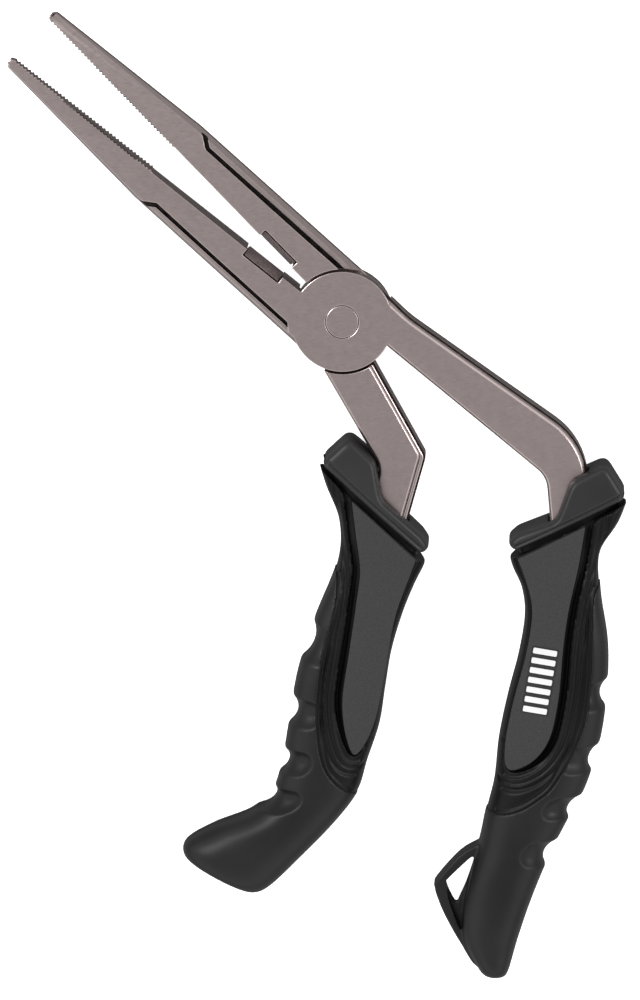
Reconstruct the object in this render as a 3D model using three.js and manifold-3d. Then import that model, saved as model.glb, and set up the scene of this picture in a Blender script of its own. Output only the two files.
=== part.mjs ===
// Long-nose fishing pliers with two pistol-bent handles.
// Two forged halves cross in a lap joint on one flush rivet. Each half is a toothed jaw with a milled
// relief, a half-thick joint disc, a bent arm and a hidden tang. Each tang carries a moulded collar, a hard
// handle body with a flat side panel let into each face, and a soft grip with finger hollows.
// Millimetres and degrees. The pivot is on the Z axis, the handles hang along -Y, the nose points up and to
// the left, and z = 0 is the back face of the steel.

import * as THREE from "three";
import { mergeVertices } from "three/addons/utils/BufferGeometryUtils.js";
import Module from "manifold-3d";

const wasm = await Module();
wasm.setup();

// ---------------------------------------------------------------- driving dimensions

const seatGap = 0.3; // between pieces that are fixed to each other
const noseAngle = 137.8; // the nose's middle line, from +X
const restOpening = 7; // between the jaws as the tool lies

const steel = { thickness: 9.5, edgeChamfer: 0.7 };
const disc = { radius: 13, shoulderGap: 0.6, lapGap: 0.2 };
const rivet = { shankRadius: 3.1, headRadius: 4.2, headDepth: 1.6, fit: 0.1 };

const jaw = {
  length: 107.8,
  tipWidth: 2.8,
  tipThickness: 4.2,
  taperFromTip: 74, // the stretch over which the jaw thins to its tip
  kneeFromTip: 46.7,
  kneeWidth: 8.7,
  rootWidth: 12.7,
  middleGap: 0.55, // from the closing line to the smooth stretch behind the teeth
  backChamferAcross: 1.3,
  backChamferDeep: 3.4,
};
const teeth = { stretch: 45.5, pitch: 1.1, depth: 0.55, biteGap: 0.12 };
const relief = {
  width: 3.1,
  depth: 0.9,
  grooveWidth: 1,
  grooveDepth: 1.9,
  runOut: 5.2,
  stop: 1, // from its end to the edge of the disc on the same face
};
const cutter = {
  nearEnd: 19,
  length: 11.6,
  pocketDepth: 2.5,
  tongueDepth: 2.2,
  tongueThickness: 2.6,
  edgeGap: 0.12,
};

const tang = { width: 7.4, thickness: 4, holeRadius: 1.7, holeFromEnd: 8, holePitch: 24 };
const moulding = {
  collarThickness: 17.6,
  collarRoundingAcross: 1.25,
  collarRoundingDeep: 4,
  grooveWidth: 1, // open joint between collar and body
  spigotInset: 2.4, // the body's spigot inside the collar
  spigotLength: 3,
  tongueWall: 2.2, // hard plastic round the tang inside the soft grip
  gripWall: 2.4, // least soft wall over that tongue
  gripProud: 0.4, // how far the soft grip stands out from the hard body
  panelTop: 8.8, // from the middle plane to the panel's flat face
  panelThickness: 2.4,
  panelGroove: 0.8,
};
const hollow = { depth: 1.5, reach: 58, flare: 1.08 };

// The two halves. Each arm's raised face is two lists of corners [x, y, radius]: its root from the pivot, and
// its bend and shank from the bend's own centre, which lies at an angle and a distance from the pivot. The
// ledge is how far the lower strip along the arm's outer edge stands out from that face.
const frontHalf = {
  name: "front",
  side: 1, // the jaw's outer side is to the left of its direction
  jawAngle: noseAngle + restOpening / 2,
  arm: {
    angle: -32.7,
    length: 69.1,
    rootOuter: [
      [6.2, 10.8, 1.4],
      [17, 0.5, 30],
    ],
    bendOuter: [
      [4, 5.9, 20],
      [6.1, -23, 1.4],
    ],
    rootInner: [[8.3, -3.6, 1.4]],
    bendInner: [
      [-5.6, -2.8, 7],
      [-3.7, -23, 1.4],
    ],
    ledge: [0.4, 0.4],
  },
  tangAngle: -95.5,
  tangLength: 62,
};
const rearHalf = {
  name: "rear",
  side: -1,
  jawAngle: noseAngle - restOpening / 2,
  arm: {
    angle: -67.6,
    length: 41,
    rootOuter: [[5.8, -8.4, 1.4]],
    bendOuter: [
      [4.7, 3.3, 2.6],
      [-2.5, -22.9, 1.4],
    ],
    rootInner: [[-7.1, -8.5, 1.4]],
    bendInner: [
      [-5.8, 0, 6],
      [-12.1, -22.9, 1.4],
    ],
    ledge: [1.3, -0.5],
  },
  tangAngle: -102,
  tangLength: 50,
};

// Each handle from the collar down, measured from its arm's bend. A section is a point on the inner rail, a
// point on the outer rail, half the thickness, and how square it is (2 is an ellipse). A finger hollow is its
// place along the handle, as a share from the first section to the last, and its radius.
const rightHandle = {
  half: frontHalf,
  name: "right",
  sections: [
    [-15.8, -20.3, 16.6, -5.4, 8.3, 3],
    [-14.3, -26.5, 13.3, -14.5, 8.3, 3],
    [-11.7, -32.6, 8.4, -22.9, 8.4, 3],
    [-10.9, -40, 8.5, -33.7, 8.6, 3],
    [-12.4, -50.2, 10.5, -47.4, 8.8, 2.9],
    [-15.2, -61.4, 10.3, -60.6, 9, 2.7],
    [-17.4, -72.6, 8.7, -72.9, 9.1, 2.6],
    [-18.5, -83.5, 5.1, -85.2, 9.1, 2.4],
    [-20.5, -92.2, 0.4, -94.5, 9, 2.3],
    [-22.3, -100.9, -3.9, -103.4, 8.9, 2.2],
    [-26.2, -114.4, -8.6, -115.3, 8.7, 2.2],
    [-26.6, -125.7, -12.2, -126.3, 8.2, 2.2],
    [-22.3, -134.7, -14.5, -134.8, 6.4, 2.2],
    [-20.2, -137.2, -15.6, -137.2, 3, 2],
  ],
  collar: [
    [9.8, 1.2, 2.2],
    [15.5, -7.9, 2],
    [-13.5, -22.4, 1.8],
    [-15.9, -19.9, 1.8],
    [-12.8, -17.3, 1.8],
    [-3.2, -13.6, 3.5],
    [0.6, -3.3, 4.5],
  ],
  groove: [
    [15.9, -8.1],
    [-13.8, -23.1],
  ],
  gripEdge: [
    [8.5, -30.3],
    [6.8, -34.7],
    [6.6, -42],
    [6.4, -51.9],
    [5.6, -62.8],
    [3.1, -72.4],
    [-2.9, -83.5],
    [-7.9, -88.1],
    [-12.8, -90.8],
    [-17.8, -91.8],
    [-22.5, -90.7],
  ],
  panel: [
    [-15.1, -18.8],
    [-11.5, -26.8],
    [-9, -36.8],
    [-10.4, -48.8],
    [-13.9, -62.7],
    [-15.8, -74.4],
    [-14.4, -79.6],
    [-8, -77.6],
    [-3.3, -71.7],
    [-0.9, -60.6],
    [0.2, -47.4],
    [1.6, -36.8],
    [4.1, -24.7],
    [6.4, -9.6],
  ],
  hollows: [
    [0.381, 5.2],
    [0.487, 5.2],
    [0.58, 4.6],
    [0.69, 5],
  ],
};
const leftHandle = {
  half: rearHalf,
  name: "left",
  sections: [
    [7, -20, -22.7, 4, 8.3, 3],
    [5.7, -25.7, -20, -4.8, 8.3, 3],
    [3.1, -31.2, -16.4, -14.6, 8.4, 3],
    [0, -39.1, -16.9, -25.8, 8.6, 3],
    [-2.8, -48.9, -22.7, -41, 8.8, 2.9],
    [-4.4, -58.7, -27, -54.8, 9, 2.7],
    [-5.9, -68.5, -29.2, -67.8, 9.1, 2.6],
    [-9, -78.2, -31.2, -79.2, 9.1, 2.4],
    [-11.6, -86.6, -33.6, -86.6, 9.1, 2.3],
    [-17.8, -95.1, -39.4, -92.3, 9, 2.3],
    [-26.9, -104.8, -49.3, -96.4, 9, 2.3],
    [-34.4, -112.2, -56.2, -100.6, 8.7, 2.3],
    [-38.6, -114.3, -56.7, -104.6, 6.8, 2.2],
    [-42.3, -113.2, -53.3, -107.3, 3.4, 2],
  ],
  collar: [
    [-14, 8.2, 2.2],
    [-21.4, 1.3, 2],
    [4.6, -22.9, 1.8],
    [7.5, -20.7, 1.8],
    [5.2, -17.4, 1.8],
    [-5.2, -7.8, 5],
    [-6.9, 2, 4],
  ],
  groove: [
    [-21.3, 0.9],
    [4.8, -23.4],
  ],
  gripEdge: [
    [-18, -24.5],
    [-16.8, -29.1],
    [-17.5, -37.2],
    [-20.1, -47.4],
    [-21.6, -57.5],
    [-22.1, -65.6],
    [-21.6, -72.8],
    [-20.1, -79],
    [-17.3, -83],
    [-13.7, -85.9],
    [-10.2, -87],
  ],
  panel: [
    [6.4, -15.1],
    [2.6, -26.2],
    [-1.8, -38.9],
    [-4.5, -54.6],
    [-6.9, -66.2],
    [-10.1, -73.3],
    [-12.8, -75],
    [-15.5, -68.4],
    [-16.4, -60.2],
    [-14.7, -47.9],
    [-12.6, -33],
    [-11.9, -26],
    [-13, -17],
    [-15, -0.2],
  ],
  hollows: [
    [0.335, 8.5],
    [0.443, 5.2],
    [0.53, 4],
    [0.638, 5],
  ],
};
const eye = {
  thickness: 6.4,
  rounding: 1.4,
  outer: [
    [-19.8, -99.6, 2],
    [-26.6, -103, 7],
    [-34.9, -112.3, 2.4],
    [-31.8, -119.8, 8],
    [-22.9, -132.6, 2],
    [-15.9, -122.4, 2],
  ],
  opening: [
    [-24, -104.5, 1],
    [-31.1, -111.5, 1.2],
    [-28.2, -116.6, 0.9],
    [-23, -106.2, 1],
  ],
  recessDepth: 2,
  recess: [
    [-24, -104.5, 1],
    [-31.1, -111.5, 1.2],
    [-29.6, -117.4, 3],
    [-27.2, -123.8, 0.8],
    [-25.2, -113, 3],
  ],
};

// ---------------------------------------------------------------- small helpers

const radians = THREE.MathUtils.degToRad;
const heading = (angle) => new THREE.Vector2(Math.cos(radians(angle)), Math.sin(radians(angle)));
const leftOf = (v) => new THREE.Vector2(-v.y, v.x);
const along = (start, direction, distance) => start.clone().addScaledVector(direction, distance);

function crossing(p, u, q, v) {
  const t = q.clone().sub(p).cross(v) / u.cross(v);
  return along(p, u, t);
}

function toSolid(geometry) {
  const bare = geometry.clone();
  bare.deleteAttribute("normal");
  bare.deleteAttribute("uv");
  const merged = mergeVertices(bare, 1e-4);
  return new wasm.Manifold(
    new wasm.Mesh({
      numProp: 3,
      vertProperties: merged.attributes.position.array,
      triVerts: new Uint32Array(merged.index.array),
    }),
  );
}

function toGeometry(solid) {
  const made = solid.getMesh();
  const geometry = new THREE.BufferGeometry();
  geometry.setAttribute("position", new THREE.BufferAttribute(made.vertProperties, 3));
  geometry.setIndex(new THREE.BufferAttribute(made.triVerts, 1));
  const faceted = geometry.toNonIndexed();
  faceted.computeVertexNormals();
  return faceted;
}

// An outline through corners given as [x, y, radius], each corner rounded by an arc of that radius or of the
// largest one that its two edges have room for.
function roundedShape(corners) {
  const shape = new THREE.Shape();
  corners.forEach(([x, y, asked], i) => {
    const corner = new THREE.Vector2(x, y);
    const edgeTo = ([otherX, otherY]) => new THREE.Vector2(otherX, otherY).sub(corner);
    const [before, after] = [corners.at(i - 1), corners[(i + 1) % corners.length]].map(edgeTo);
    const room = 0.49 * Math.min(before.length(), after.length());
    const half = before.angleTo(after) / 2;
    before.normalize();
    after.normalize();
    const radius = Math.min(asked, room * Math.tan(half));
    const centre = along(corner, before.clone().add(after).normalize(), radius / Math.sin(half));
    const angleTo = (v) => along(corner, v, radius / Math.tan(half)).sub(centre).angle();
    shape.absarc(centre.x, centre.y, radius, angleTo(before), angleTo(after), before.cross(after) > 0);
  });
  return shape;
}

// The same corners with every edge moved outwards by a distance.
function movedOut(corners, distance) {
  const points = corners.map(([x, y]) => new THREE.Vector2(x, y));
  const outwards = THREE.ShapeUtils.isClockWise(points) ? 1 : -1;
  return corners.map(([, , radius], i) => {
    const u = points[i].clone().sub(points.at(i - 1)).normalize();
    const v = points[(i + 1) % points.length].clone().sub(points[i]).normalize();
    const [p, q] = [u, v].map((edge) => along(points[i], leftOf(edge), outwards * distance));
    const corner = crossing(p, u, q, v);
    const convex = u.cross(v) * outwards < 0;
    return [corner.x, corner.y, radius + (convex ? distance : -distance)];
  });
}

function polygon(points) {
  return new THREE.Shape(points.map((p) => new THREE.Vector2(p.x, p.y)));
}

function slab(shape, bottom, top, curveSegments = 6) {
  const geometry = new THREE.ExtrudeGeometry(shape, {
    depth: top - bottom,
    bevelEnabled: false,
    curveSegments,
  });
  return toSolid(geometry.translate(0, 0, bottom));
}

// A slab of the shape's full outline at its middle, with rounded or chamfered rims on both faces.
function rimmedSlab(shape, thickness, across, deep, steps, curveSegments = 6) {
  const geometry = new THREE.ExtrudeGeometry(shape, {
    depth: thickness - 2 * deep,
    bevelEnabled: true,
    bevelSize: across,
    bevelOffset: -across,
    bevelThickness: deep,
    bevelSegments: steps,
    curveSegments,
  });
  return toSolid(geometry.translate(0, 0, deep - thickness / 2));
}

function post(radius, bottom, top, segments = 48) {
  const geometry = new THREE.CylinderGeometry(radius, radius, top - bottom, segments);
  return toSolid(geometry.rotateX(Math.PI / 2).translate(0, 0, (top + bottom) / 2));
}

function union(first, ...others) {
  return others.reduce((whole, next) => whole.add(next), first);
}

function cut(first, ...others) {
  return others.reduce((whole, next) => whole.subtract(next), first);
}

// A closed skin through rings of points, each end closed by a fan.
function skin(rings) {
  const count = rings[0].length;
  const centreOf = (ring) => ring.reduce((sum, p) => sum.add(p), new THREE.Vector3()).divideScalar(count);
  const points = [...rings.flat(), centreOf(rings[0]), centreOf(rings.at(-1))];
  const firstCentre = points.length - 2;
  const lastCentre = points.length - 1;
  const lastRing = (rings.length - 1) * count;
  const index = [];
  for (let i = 0; i < count; i++) {
    const next = (i + 1) % count;
    for (let r = 0; r < rings.length - 1; r++) {
      const [a, b] = [r * count + i, r * count + next];
      const [c, d] = [a + count, b + count];
      index.push(a, b, d, a, d, c);
    }
    index.push(firstCentre, next, i, lastCentre, lastRing + i, lastRing + next);
  }
  const geometry = new THREE.BufferGeometry().setFromPoints(points);
  geometry.setIndex(index);
  const solid = toSolid(geometry);
  if (solid.volume() > 0) return solid;
  for (let i = 0; i < index.length; i += 3) [index[i], index[i + 1]] = [index[i + 1], index[i]];
  geometry.setIndex(index);
  return toSolid(geometry);
}

// ---------------------------------------------------------------- steel halves

const halfThick = steel.thickness / 2;
const beyond = 40; // further than any piece reaches, for cutting tools
const kneeAlong = jaw.length - jaw.kneeFromTip;

// A point of a half's jaw: along from the pivot to the tip, across outwards from the closing line.
function jawPoint(half, alongJaw, acrossJaw) {
  const u = heading(half.jawAngle);
  return along(new THREE.Vector2(), u, alongJaw).addScaledVector(leftOf(u), acrossJaw * half.side);
}

function jawWidth(alongJaw) {
  const toKnee = alongJaw / kneeAlong;
  const toTip = (alongJaw - kneeAlong) / jaw.kneeFromTip;
  return alongJaw < kneeAlong
    ? THREE.MathUtils.lerp(jaw.rootWidth, jaw.kneeWidth, toKnee)
    : THREE.MathUtils.lerp(jaw.kneeWidth, jaw.tipWidth, toTip);
}

const tipChamfer = 0.8;

// The jaw's outer edge from the pivot to the tip, as points [along, across].
const outerEdge = () => [
  [0, jaw.rootWidth],
  [kneeAlong, jaw.kneeWidth],
  [jaw.length - tipChamfer, jawWidth(jaw.length - tipChamfer)],
  [jaw.length, jaw.tipWidth - tipChamfer],
];

function jawBlank(half) {
  const teethCount = Math.floor(teeth.stretch / teeth.pitch);
  const teethStart = jaw.length - tipChamfer - teethCount * teeth.pitch;
  const edge = [
    [0, jaw.middleGap],
    [teethStart, jaw.middleGap],
  ];
  for (let i = 0; i < teethCount; i++) {
    const root = teethStart + i * teeth.pitch;
    edge.push([root + 0.01, teeth.biteGap + teeth.depth]);
    edge.push([root + teeth.pitch / 2, teeth.biteGap]);
  }
  edge.push([jaw.length - tipChamfer, teeth.biteGap + teeth.depth / 2]);
  edge.push([jaw.length, teeth.biteGap + teeth.depth]);
  edge.push(...outerEdge().reverse());
  const toothed = slab(polygon(edge.map(([a, b]) => jawPoint(half, a, b))), -halfThick, halfThick);
  const backed = [...outerEdge(), [jaw.length + beyond, 0], [jaw.length + beyond, -beyond], [-beyond, -beyond]];
  backed.push([-beyond, jaw.rootWidth]);
  return toothed.intersect(
    rimmedSlab(
      polygon(backed.map(([a, b]) => jawPoint(half, a, b))),
      steel.thickness,
      jaw.backChamferAcross,
      jaw.backChamferDeep,
      1,
    ),
  );
}

// The strip milled away along the jaw's outer edge, on one face, with a deeper groove at its foot. Both end
// in a slanted run-out at the knee. On the face that carries the half's own disc they stop short of it.
function reliefCut(half, face) {
  const edge = (a, inwards) => jawPoint(half, a, jawWidth(a) - inwards);
  const footEnd = kneeAlong - relief.runOut;
  const foot = [edge(0, relief.width), edge(footEnd, relief.width), edge(kneeAlong, -0.4)];
  const grooveFoot = relief.width - relief.grooveWidth;
  const grooveBack = [
    edge(kneeAlong - 1.8 * relief.grooveWidth, -0.4),
    edge(footEnd - 0.4 * relief.grooveWidth, grooveFoot),
    edge(0, grooveFoot),
  ];
  const cutDown = (points, depth) => {
    const floor = halfThick - depth;
    const [bottom, top] = face > 0 ? [floor, beyond] : [-beyond, -floor];
    return slab(polygon(points), bottom, top);
  };
  const stop = disc.radius + (face === half.side ? relief.stop : 0);
  return cut(
    union(
      cutDown([...foot, edge(kneeAlong, -beyond), edge(0, -beyond)], relief.depth),
      cutDown([...foot, ...grooveBack], relief.grooveDepth),
    ),
    post(stop, -beyond, beyond, 72),
  );
}

// The wedge that thins the jaw towards its tip, on one face.
function taperCut(half, face) {
  const from = jaw.length - jaw.taperFromTip;
  const past = jaw.length + 5;
  const slope = (halfThick - jaw.tipThickness / 2) / jaw.taperFromTip;
  const profile = new THREE.Shape([
    new THREE.Vector2(from, halfThick),
    new THREE.Vector2(past, halfThick - slope * (past - from)),
    new THREE.Vector2(past, beyond),
    new THREE.Vector2(from, beyond),
  ]);
  const geometry = new THREE.ExtrudeGeometry(profile, { depth: 2 * beyond, bevelEnabled: false });
  geometry.translate(0, 0, -beyond).rotateX(Math.PI / 2);
  if (face < 0) geometry.rotateX(Math.PI);
  return toSolid(geometry.rotateZ(radians(half.jawAngle)));
}

function jawBox(half, from, to, depthFrom, depthTo, thickness) {
  const corners = [
    jawPoint(half, from, depthFrom),
    jawPoint(half, to, depthFrom),
    jawPoint(half, to, depthTo),
    jawPoint(half, from, depthTo),
  ];
  return slab(polygon(corners), -thickness / 2, thickness / 2);
}

const cutterFarEnd = cutter.nearEnd + cutter.length;
const tongueEnd = cutter.pocketDepth + cutter.tongueDepth;

function cutterPocket(half) {
  const open = jawBox(half, cutter.nearEnd, cutterFarEnd, -beyond, cutter.pocketDepth, 2 * beyond);
  const slot = jawBox(
    half,
    cutter.nearEnd,
    cutterFarEnd,
    0,
    tongueEnd,
    cutter.tongueThickness + 2 * seatGap,
  );
  return union(open, slot);
}

// A brazed cutting blade: a roof that rises to the cutting edge in the middle plane, on a tongue.
function cutterBlade(half) {
  const profile = new THREE.Shape([
    new THREE.Vector2(cutter.edgeGap, 0),
    new THREE.Vector2(cutter.pocketDepth - seatGap, halfThick - seatGap),
    new THREE.Vector2(cutter.pocketDepth - seatGap, cutter.tongueThickness / 2),
    new THREE.Vector2(tongueEnd - seatGap, cutter.tongueThickness / 2),
    new THREE.Vector2(tongueEnd - seatGap, -cutter.tongueThickness / 2),
    new THREE.Vector2(cutter.pocketDepth - seatGap, -cutter.tongueThickness / 2),
    new THREE.Vector2(cutter.pocketDepth - seatGap, seatGap - halfThick),
  ]);
  const geometry = new THREE.ExtrudeGeometry(profile, {
    depth: cutter.length - 2 * seatGap,
    bevelEnabled: false,
  });
  const u = heading(half.jawAngle);
  const n = leftOf(u).multiplyScalar(half.side);
  const basis = new THREE.Matrix4().makeBasis(
    new THREE.Vector3(n.x, n.y, 0),
    new THREE.Vector3(0, 0, half.side),
    new THREE.Vector3(u.x, u.y, 0),
  );
  geometry.translate(0, 0, cutter.nearEnd + seatGap);
  return toSolid(geometry.applyMatrix4(basis));
}

const bendOf = (half) => heading(half.arm.angle).multiplyScalar(half.arm.length);

// A list of corners [x, y, ...] measured from a half's bend, moved to the pivot's frame.
const fromBend = (half, corners) => {
  const bend = bendOf(half);
  return corners.map(([x, y, ...rest]) => [x + bend.x, y + bend.y, ...rest]);
};

function armSolid(half, grow = 0) {
  const { rootOuter, bendOuter, rootInner, bendInner, ledge } = half.arm;
  const outer = [...rootOuter, ...fromBend(half, bendOuter)];
  const inner = [...rootInner, ...fromBend(half, bendInner)];
  const shape = roundedShape(movedOut([...outer, ...inner.reverse()], grow));
  const chamfer = steel.edgeChamfer;
  const full = steel.thickness + 2 * grow;
  const raised = rimmedSlab(shape, full, chamfer, chamfer, 1, 4);
  const lower = rimmedSlab(shape, full - 2 * relief.depth, chamfer, chamfer, 1, 4);
  return union(raised, lower.translate([...ledge, 0]));
}

// The middle of the shank's square end, where the tang starts.
function shankEnd(half) {
  const [a, b] = [half.arm.bendOuter, half.arm.bendInner].map((list) => {
    const [x, y] = fromBend(half, list).at(-1);
    return new THREE.Vector2(x, y);
  });
  return a.add(b).multiplyScalar(0.5);
}

// The flat tang, or with growth the room or the plastic round it.
function tangSolid(half, grow = 0, extra = 0) {
  const v = heading(half.tangAngle);
  const across = leftOf(v).multiplyScalar(tang.width / 2 + grow);
  const start = along(shankEnd(half), v, -6);
  const end = along(shankEnd(half), v, half.tangLength + grow + extra);
  const outline = [
    start.clone().add(across),
    start.clone().sub(across),
    end.clone().sub(across),
    end.clone().add(across),
  ];
  const thick = tang.thickness / 2 + grow;
  return slab(polygon(outline), -thick, thick);
}

function tangHoles(half, radius) {
  const v = heading(half.tangAngle);
  const reach = tang.thickness / 2 + 1;
  return [0, 1].map((i) => {
    const centre = along(shankEnd(half), v, half.tangLength - tang.holeFromEnd - i * tang.holePitch);
    return post(radius, -reach, reach, 20).translate([centre.x, centre.y, 0]);
  });
}

function rivetHole() {
  const head = rivet.headRadius + rivet.fit;
  const seat = halfThick - rivet.headDepth - rivet.fit;
  return union(
    post(rivet.shankRadius + rivet.fit, -beyond, beyond),
    post(head, seat, beyond),
    post(head, -beyond, -seat),
  );
}

function steelHalf(half) {
  const lap = disc.lapGap / 2;
  const [discBottom, discTop] = half.side > 0 ? [lap, halfThick] : [-halfThick, -lap];
  const [openBottom, openTop] = half.side > 0 ? [-beyond, lap] : [-lap, beyond];
  const milled = [1, -1].flatMap((face) => [reliefCut(half, face), taperCut(half, face)]);
  const jawPiece = cut(jawBlank(half), ...milled);
  const blank = union(jawPiece, armSolid(half), tangSolid(half));
  const recess = post(disc.radius + disc.shoulderGap, openBottom, openTop, 72);
  const shaped = union(
    cut(blank, cutterPocket(half), recess),
    post(disc.radius, discBottom, discTop, 72),
  );
  return cut(shaped, rivetHole(), ...tangHoles(half, tang.holeRadius));
}

function rivetSolid() {
  const { shankRadius, headRadius, headDepth } = rivet;
  const profile = [
    [0, -halfThick],
    [headRadius, -halfThick],
    [headRadius, headDepth - halfThick],
    [shankRadius, headDepth - halfThick],
    [shankRadius, halfThick - headDepth],
    [headRadius, halfThick - headDepth],
    [headRadius, halfThick],
    [0, halfThick],
  ];
  const geometry = new THREE.LatheGeometry(
    profile.map(([r, z]) => new THREE.Vector2(r, z)),
    40,
  );
  return toSolid(geometry.rotateX(Math.PI / 2));
}

// ---------------------------------------------------------------- handles

const fromCorner = (handle, [x, y]) => bendOf(handle.half).add(new THREE.Vector2(x, y));

// The handle's outer form: sections between two rails, each a rounded oblong.
function handleForm(handle, inset = 0, rows = 24, around = 20) {
  const rail = (i, j) =>
    new THREE.SplineCurve(
      handle.sections.map((s) => fromCorner(handle, [s[i], s[j]])),
    );
  const [inner, outer] = [rail(0, 1), rail(2, 3)];
  const section = new THREE.SplineCurve(handle.sections.map((s) => new THREE.Vector2(s[4], s[5])));
  const rings = [];
  for (let r = 0; r <= rows; r++) {
    const share = r / rows;
    const [a, b, { x: half, y: squareness }] = [inner, outer, section].map((c) => c.getPoint(share));
    const middle = a.clone().add(b).multiplyScalar(0.5);
    const reach = b.clone().sub(a).multiplyScalar(0.5);
    const width = reach.length();
    reach.multiplyScalar(Math.max(width - inset, 0.4) / width);
    const deep = Math.max(half - inset, 0.4);
    const ring = [];
    for (let k = 0; k < around; k++) {
      const angle = ((k + 0.5) / around) * 2 * Math.PI;
      const round = (value) => Math.sign(value) * Math.abs(value) ** (2 / squareness);
      const p = along(middle, reach, round(Math.cos(angle)));
      ring.push(new THREE.Vector3(p.x, p.y, deep * round(Math.sin(angle))));
    }
    rings.push(ring);
  }
  return skin(rings);
}

// Everything on the handle's side of the groove under the collar, moved down by a distance.
function belowGroove(handle, shift = 0) {
  const [outer, inner] = handle.groove.map((p) => fromCorner(handle, p));
  const line = inner.clone().sub(outer).normalize();
  let down = leftOf(line);
  if (down.y > 0) down = down.negate();
  const [a, b] = [along(outer, line, -60), along(inner, line, 60)].map((p) => along(p, down, shift));
  return slab(polygon([a, b, along(b, down, 260), along(a, down, 260)]), -beyond, beyond);
}

// The soft grip's region in plan: outside the grip edge and all of the butt.
function gripRegion(handle, grow = 0) {
  const edge = new THREE.SplineCurve(handle.gripEdge.map((p) => fromCorner(handle, p)));
  const steps = 24;
  const outwards = handle.half.side; // the grip lies to this side of the edge as it runs down
  const points = [];
  for (let i = 0; i <= steps; i++) {
    const share = i / steps;
    const normal = leftOf(edge.getTangent(share)).multiplyScalar(-outwards * grow);
    points.push(edge.getPoint(share).add(normal));
  }
  const far = 60;
  const [first, last] = [points[0], points.at(-1)];
  const away = outwards; // +X for the right handle, whose grip faces right
  const corners = [
    new THREE.Vector2(last.x - away * far, last.y),
    new THREE.Vector2(last.x - away * far, last.y - far),
    new THREE.Vector2(first.x + away * far, last.y - far),
    new THREE.Vector2(first.x + away * far, first.y + 5),
  ];
  return slab(polygon([...points, ...corners]), -beyond, beyond);
}

function panelShape(handle, grow = 0) {
  const points = handle.panel.map((p) => fromCorner(handle, p));
  const curve = new THREE.SplineCurve(points);
  const turn = THREE.ShapeUtils.isClockWise(points) ? 1 : -1;
  const steps = 40;
  const outline = [];
  for (let i = 0; i <= steps; i++) {
    const share = i / steps;
    const normal = leftOf(curve.getTangent(share)).multiplyScalar(turn * grow);
    outline.push(curve.getPoint(share).add(normal));
  }
  return polygon(outline);
}

const panelLevels = (face, lower = 0) => {
  const top = moulding.panelTop;
  const floor = top - moulding.panelThickness - lower;
  return face > 0 ? [floor, top] : [-top, -floor];
};

function panelSolid(handle, face) {
  const [bottom, top] = panelLevels(face);
  return slab(panelShape(handle), bottom, top).intersect(
    belowGroove(handle, moulding.grooveWidth),
  );
}

function panelPocket(handle, face) {
  const [bottom, top] = panelLevels(face, seatGap);
  return slab(panelShape(handle, moulding.panelGroove), face > 0 ? bottom : -beyond, face > 0 ? beyond : top);
}

function spigot(handle, grow = 0) {
  return handleForm(handle, moulding.spigotInset - grow).intersect(
    cut(
      belowGroove(handle, -moulding.spigotLength - grow),
      belowGroove(handle, moulding.grooveWidth + 1),
    ),
  );
}

// Hard plastic round the tang, reaching down inside the soft grip.
function tongue(handle, grow = 0) {
  const wall = moulding.tongueWall + grow;
  return tangSolid(handle.half, wall, 0).intersect(
    handleForm(handle, moulding.gripWall + moulding.gripProud - grow),
  );
}

function bodySolid(handle) {
  const outside = cut(
    handleForm(handle).intersect(belowGroove(handle, moulding.grooveWidth)),
    gripRegion(handle, seatGap),
    panelPocket(handle, 1),
    panelPocket(handle, -1),
  );
  const whole = union(outside, spigot(handle), tongue(handle));
  const pegs = tangHoles(handle.half, tang.holeRadius - seatGap);
  return union(
    cut(whole, armSolid(handle.half, seatGap), tangSolid(handle.half, seatGap)),
    ...pegs.map((peg) => peg.intersect(whole)),
  );
}

function collarSolid(handle) {
  const shape = roundedShape(fromBend(handle.half, handle.collar));
  const blank = rimmedSlab(
    shape,
    moulding.collarThickness,
    moulding.collarRoundingAcross,
    moulding.collarRoundingDeep,
    3,
    2,
  );
  return cut(blank, armSolid(handle.half, seatGap), tangSolid(handle.half, seatGap), spigot(handle, seatGap));
}

// The tool that scoops one finger hollow: a round bar bent over the grip's outer side.
function hollowTool(handle, [share, radius]) {
  const rail = (i, j) =>
    new THREE.SplineCurve(handle.sections.map((s) => fromCorner(handle, [s[i], s[j]])));
  const [a, b] = [rail(0, 1), rail(2, 3)].map((c) => c.getPoint(share));
  const middle = a.clone().add(b).multiplyScalar(0.5);
  const reach = b.clone().sub(a).multiplyScalar(0.5);
  const deep = new THREE.SplineCurve(handle.sections.map((s) => new THREE.Vector2(s[4], s[5])))
    .getPoint(share).x;
  const lift = radius - hollow.depth;
  const outward = reach.clone().normalize();
  const path = [];
  for (let i = 0; i <= 6; i++) {
    const angle = radians(hollow.reach * (i / 3 - 1));
    const p = along(middle, outward, (reach.length() + lift) * Math.cos(angle));
    path.push(new THREE.Vector3(p.x, p.y, (deep + lift) * Math.sin(angle) * hollow.flare));
  }
  const bar = new THREE.Shape().absarc(0, 0, radius, 0, 2 * Math.PI);
  const bent = new THREE.ExtrudeGeometry(bar, {
    extrudePath: new THREE.CatmullRomCurve3(path),
    steps: 6,
    curveSegments: 5,
  });
  const ball = (p) => {
    const sphere = new THREE.SphereGeometry(radius, 10, 6);
    return toSolid(sphere.translate(p.x, p.y, p.z));
  };
  return union(toSolid(bent), ball(path[0]), ball(path.at(-1)));
}

function gripSolid(handle, extra = null) {
  let form = handleForm(handle, -moulding.gripProud);
  if (extra) form = form.add(extra);
  const scooped = cut(form, ...handle.hollows.map((entry) => hollowTool(handle, entry)));
  return cut(
    scooped.intersect(gripRegion(handle)),
    tongue(handle, seatGap),
  );
}

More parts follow.
